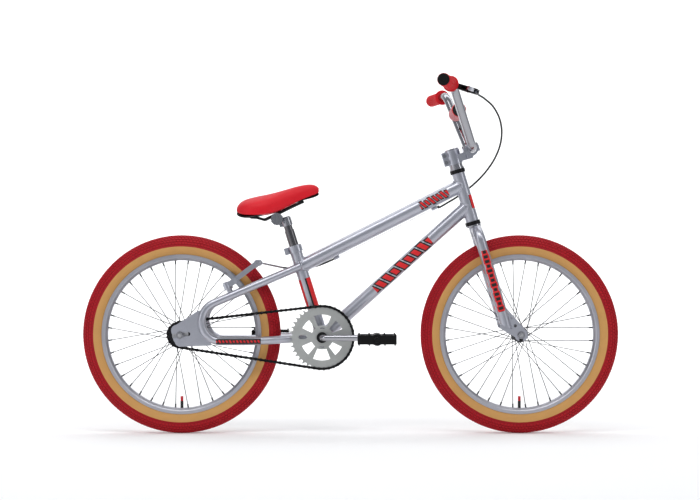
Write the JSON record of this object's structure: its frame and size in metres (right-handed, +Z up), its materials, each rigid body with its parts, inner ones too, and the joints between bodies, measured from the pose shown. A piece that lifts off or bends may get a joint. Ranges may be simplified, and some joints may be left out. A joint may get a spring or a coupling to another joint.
{
  "type": "bmx bike",
  "caption": "Small-wheeled single-speed bike with high bars, a crossbar pad, a one-piece crank, chain drive and a rear rim brake.",
  "frame": {"origin": "on the ground, midway between the axles, in the bike's middle plane", "axes": "+X forward, +Y to the rider's left, +Z up; the chain is on the -Y side"},
  "size_m": [1.391, 0.6688, 0.909],
  "materials": {
    "alloy": "satin",
    "black_housing": "satin",
    "black_metal": "satin",
    "black_plastic": "matt",
    "chain_steel": "oiled",
    "chrome": "polished",
    "frame_paint": "metallic silver gloss",
    "grip_rubber": "matt",
    "pad_cover": "woven",
    "saddle_vinyl": "smooth vinyl",
    "steel": "satin",
    "tube_rubber": "matt",
    "tyre_rubber": "red tread with tan sidewalls"
  },
  "bodies": {
    "frame": {"head_tube": "frame_paint", "top_tube": "frame_paint", "down_tube": "frame_paint", "seat_tube": "frame_paint", "bottom_bracket_shell": "frame_paint", "rear_stays": "frame_paint", "rear_dropouts": "frame_paint", "braze_ons": "frame_paint", "seat_clamp": "alloy", "headset_cups": "alloy", "bottom_bracket_cups": "steel", "rear_axle_set": "steel", "rear_axle_nuts": "steel", "chain_outer_links": "chain_steel", "chain_inner_links": "chain_steel", "chain_rollers": "chain_steel", "rear_brake_cable": "black_housing", "front_brake_housing": "black_housing"},
    "steering": {"steerer_tube": "chrome", "fork_legs": "frame_paint", "fork_dropouts": "frame_paint", "headset_races": "chrome", "stem_body": "alloy", "stem_cap": "alloy", "stem_bolts": "chrome", "handlebar": "chrome", "crossbar_pad": "pad_cover", "grips": "grip_rubber", "brake_lever_bracket": "black_plastic", "barrel_adjuster": "alloy", "front_axle_set": "steel", "front_axle_nuts": "steel"},
    "brake_lever": {"brake_lever_blade": "alloy"},
    "front_wheel": {"front_hub": "black_metal", "front_spokes": "chrome", "front_rim": "alloy", "front_tyre": "tyre_rubber", "front_inner_tube": "tube_rubber"},
    "rear_wheel": {"rear_hub": "black_metal", "rear_spokes": "chrome", "rear_rim": "alloy", "rear_tyre": "tyre_rubber", "rear_inner_tube": "tube_rubber", "freewheel_body": "steel"},
    "freewheel": {"freewheel_cog": "chain_steel"},
    "crankset": {"crank": "chrome", "chainring": "alloy", "crank_cones": "black_metal", "pedal_spindles": "chrome"},
    "right_pedal": {"right_pedal": "black_plastic"},
    "left_pedal": {"left_pedal": "black_plastic"},
    "seatpost": {"seatpost": "chrome", "saddle_clamp": "chrome"},
    "saddle": {"saddle_rails": "chrome", "rail_clamps": "chrome", "saddle_base": "black_plastic", "saddle_cover": "saddle_vinyl"},
    "right_brake": {"right_brake_arm": "alloy"},
    "left_brake": {"left_brake_arm": "alloy", "brake_noodle": "chrome"}
  },
  "joints": [
    {"name": "steer", "type": "hinge", "parent": "frame", "child": "steering", "pos_m": [0.29826, 0, 0.61178], "axis": [-0.284, 0, 0.9588], "range_deg": [-60, 60], "deforming": ["front_brake_housing"]},
    {"name": "front_wheel_spin", "type": "hinge", "parent": "steering", "child": "front_wheel", "pos_m": [0.4385, 0, 0.257], "axis": [0, 1, 0], "continuous": true},
    {"name": "rear_wheel_spin", "type": "hinge", "parent": "frame", "child": "rear_wheel", "pos_m": [-0.4385, 0, 0.257], "axis": [0, 1, 0], "continuous": true},
    {"name": "crank_spin", "type": "hinge", "parent": "frame", "child": "crankset", "pos_m": [-0.07351, 0, 0.25], "axis": [0, 1, 0], "continuous": true, "deforming": ["chain_outer_links", "chain_inner_links", "chain_rollers"]},
    {"name": "freewheel_cog_spin", "type": "hinge", "parent": "frame", "child": "freewheel", "pos_m": [-0.4385, 0, 0.257], "axis": [0, 1, 0], "continuous": true},
    {"name": "right_pedal_spin", "type": "hinge", "parent": "crankset", "child": "right_pedal", "pos_m": [0.06649, -0.074, 0.25], "axis": [0, 1, 0], "continuous": true},
    {"name": "left_pedal_spin", "type": "hinge", "parent": "crankset", "child": "left_pedal", "pos_m": [-0.21351, 0.072, 0.25], "axis": [0, 1, 0], "continuous": true},
    {"name": "seat_height", "type": "slide", "parent": "frame", "child": "seatpost", "axis": [-0.2974, 0, 0.9548], "range_m": [-0.03, 0.06]},
    {"name": "saddle_tilt", "type": "hinge", "parent": "seatpost", "child": "saddle", "pos_m": [-0.19067, 0, 0.55552], "axis": [0, 1, 0], "range_deg": [-10, 10]},
    {"name": "brake_lever_pull", "type": "hinge", "parent": "steering", "child": "brake_lever", "pos_m": [0.29277, -0.20327, 0.87587], "axis": [-0.2919, 0.0583, -0.9547], "range_deg": [0, 20], "stiffness_Nm_per_rad": 0.6, "springref_deg": -11.46},
    {"name": "right_brake_arm_turn", "type": "hinge", "parent": "frame", "child": "right_brake", "pos_m": [-0.31921, -0.05199, 0.38222], "axis": [-0.3923, 0, 0.9198], "range_deg": [0, 2.6]},
    {"name": "left_brake_arm_turn", "type": "hinge", "parent": "frame", "child": "left_brake", "pos_m": [-0.31921, 0.05199, 0.38222], "axis": [0.3923, 0, -0.9198], "range_deg": [0, 2.6], "deforming": ["rear_brake_cable"]}
  ],
  "couplings": [
    {"joint": "freewheel_cog_spin", "follows": "crank_spin", "ratio": 2.5},
    {"joint": "right_brake_arm_turn", "follows": "brake_lever_pull", "ratio": 0.13},
    {"joint": "left_brake_arm_turn", "follows": "brake_lever_pull", "ratio": 0.13}
  ]
}
